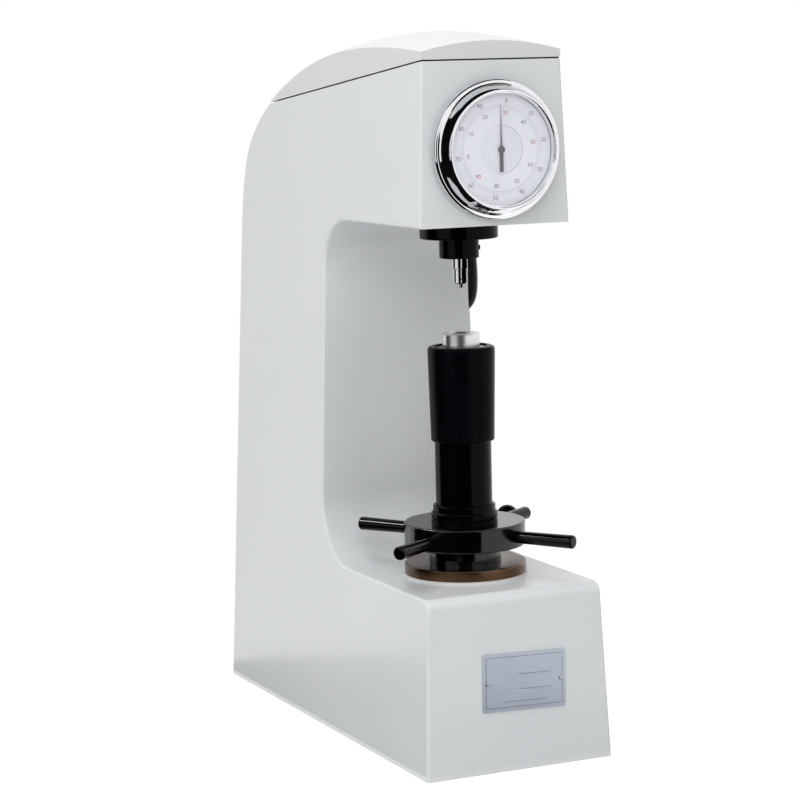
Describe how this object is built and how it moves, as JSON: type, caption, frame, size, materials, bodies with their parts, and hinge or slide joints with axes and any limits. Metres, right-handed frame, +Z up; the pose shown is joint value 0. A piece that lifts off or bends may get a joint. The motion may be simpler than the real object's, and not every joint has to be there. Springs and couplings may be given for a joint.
{
  "type": "hardness tester",
  "caption": "Bench hardness tester with a C-shaped cast stand, domed lid, large dial, loading spindle and a handwheel-raised screw with an anvil socket.",
  "frame": {"origin": "middle of the base's underside, on the surface it stands on", "axes": "+Z up; the front with the dial faces -Y; +X is the right-hand side seen from the front"},
  "size_m": [0.2135, 0.4643, 0.6336],
  "materials": {
    "stand_paint": "gloss enamel on cast iron",
    "lid_paint": "gloss enamel on cast iron",
    "gasket": "dark rubber strip",
    "black_enamel": "black gloss finish on steel",
    "black_plastic": "black moulded plastic",
    "bronze": "dark turned bronze",
    "bright_steel": "ground steel",
    "polished_steel": "polished hardened steel",
    "dark_steel": "oiled dark steel",
    "raw_casting": "grey iron",
    "chrome": "chromed",
    "dial_print": "printed white disc",
    "pointer_paint": "dark lacquer",
    "crystal": "clear crystal",
    "plate": "satin anodised"
  },
  "bodies": {
    "stand": {"base_ring": "bronze", "bearing_lower_race": "polished_steel", "dashpot_cap": "bright_steel", "dashpot_cylinder": "raw_casting", "dial_case": "pointer_paint", "flange_screws": "black_enamel", "fulcrum_bracket": "raw_casting", "guard_screw": "black_enamel", "guide_key": "dark_steel", "head_screws": "dark_steel", "indenter_guard": "black_enamel", "lid_gasket": "gasket", "lift_rod_guides": "dark_steel", "main_housing": "stand_paint", "measuring_lever_pin": "dark_steel", "nameplate": "plate", "nameplate_rivets": "bright_steel", "rear_cover": "stand_paint", "rear_cover_screws": "bright_steel", "screw_guide": "raw_casting", "shaft_bushes": "bronze", "spindle_flange": "black_enamel", "top_cover": "lid_paint"},
    "handwheel": {"handwheel": "black_enamel", "lifting_nut": "bronze", "handwheel_handles": "black_enamel", "sleeve_collar": "black_enamel", "lower_sleeve": "black_enamel", "bearing_upper_race": "polished_steel"},
    "bearing": {"bearing_cage": "bronze", "bearing_balls": "polished_steel"},
    "screw": {"elevating_screw": "dark_steel", "anvil_socket": "bright_steel", "sleeve_cap": "black_enamel", "outer_sleeve": "black_plastic"},
    "spindle": {"spindle": "polished_steel", "indenter_holder": "polished_steel", "indenter": "polished_steel", "indenter_set_screw": "dark_steel", "spindle_tappet": "dark_steel"},
    "main_lever": {"main_lever": "dark_steel", "lever_knives": "polished_steel"},
    "hanger": {"hanger_stirrup": "dark_steel", "hanger_rod": "dark_steel", "weight_large": "dark_steel", "weight_medium": "dark_steel", "weight_small": "dark_steel"},
    "measuring_lever": {"measuring_lever": "dark_steel"},
    "dial_plunger": {"dial_plunger": "bright_steel"},
    "bezel": {"dial_bezel": "chrome", "dial_glass": "crystal", "dial_face": "dial_print"},
    "pointer": {"dial_pointer": "pointer_paint", "pointer_arbor": "dark_steel"},
    "operating_lever": {"operating_shaft": "bright_steel", "operating_arm": "black_enamel", "operating_knob": "black_plastic"},
    "lift_rod": {"lift_rod": "dark_steel"},
    "selector": {"selector_shaft": "bright_steel", "selector_knob": "black_plastic"}
  },
  "joints": [
    {"name": "handwheel_spin", "type": "hinge", "parent": "stand", "child": "handwheel", "pos_m": [0, -0.1285, 0.192], "axis": [0, 0, 1], "range_deg": [-1368, 3600]},
    {"name": "bearing_roll", "type": "hinge", "parent": "stand", "child": "bearing", "pos_m": [0, -0.1285, 0.173], "axis": [0, 0, 1], "range_deg": [-684.1, 1800.1]},
    {"name": "screw_lift", "type": "slide", "parent": "stand", "child": "screw", "axis": [0, 0, 1], "range_m": [-0.05001, 0.01901]},
    {"name": "main_lever_tilt", "type": "hinge", "parent": "stand", "child": "main_lever", "pos_m": [0, -0.1425, 0.535], "axis": [1, 0, 0], "range_deg": [0, 3.27]},
    {"name": "spindle_travel", "type": "slide", "parent": "stand", "child": "spindle", "axis": [0, 0, 1], "range_m": [0, 0.0008]},
    {"name": "hanger_lift", "type": "slide", "parent": "stand", "child": "hanger", "axis": [0, 0, 1], "range_m": [0, 0.01512]},
    {"name": "measuring_lever_swing", "type": "hinge", "parent": "stand", "child": "measuring_lever", "pos_m": [-0.0285, -0.1405, 0.497], "axis": [1, 0, 0], "range_deg": [0, 3.82]},
    {"name": "dial_plunger_travel", "type": "slide", "parent": "stand", "child": "dial_plunger", "axis": [0, -1, 0], "range_m": [0, 0.00321]},
    {"name": "pointer_spin", "type": "hinge", "parent": "stand", "child": "pointer", "pos_m": [0, -0.214, 0.5327], "axis": [0, 1, 0], "range_deg": [0, 1440]},
    {"name": "bezel_turn", "type": "hinge", "parent": "stand", "child": "bezel", "pos_m": [0, -0.21, 0.5327], "axis": [0, -1, 0], "continuous": true},
    {"name": "operating_lever_swing", "type": "hinge", "parent": "stand", "child": "operating_lever", "pos_m": [0.1, 0.021, 0.095], "axis": [1, 0, 0], "range_deg": [-75, 0]},
    {"name": "lift_rod_travel", "type": "slide", "parent": "stand", "child": "lift_rod", "axis": [0, 0, 1], "range_m": [-0.01707, 0]},
    {"name": "selector_turn", "type": "hinge", "parent": "stand", "child": "selector", "pos_m": [0.08, 0.13, 0.33], "axis": [1, 0, 0], "range_deg": [0, 180]}
  ],
  "couplings": [
    {"joint": "bearing_roll", "follows": "handwheel_spin", "ratio": 0.5},
    {"joint": "screw_lift", "follows": "handwheel_spin", "m_per_rad": -0.00079577},
    {"joint": "spindle_travel", "follows": "main_lever_tilt", "m_per_rad": 0.014},
    {"joint": "hanger_lift", "follows": "main_lever_tilt", "m_per_rad": 0.2645},
    {"joint": "measuring_lever_swing", "follows": "main_lever_tilt", "ratio": 1.1667},
    {"joint": "dial_plunger_travel", "follows": "main_lever_tilt", "m_per_rad": 0.056},
    {"joint": "pointer_spin", "follows": "main_lever_tilt", "ratio": 439.82},
    {"joint": "lift_rod_travel", "follows": "operating_lever_swing", "m_per_rad": 0.013022}
  ]
}
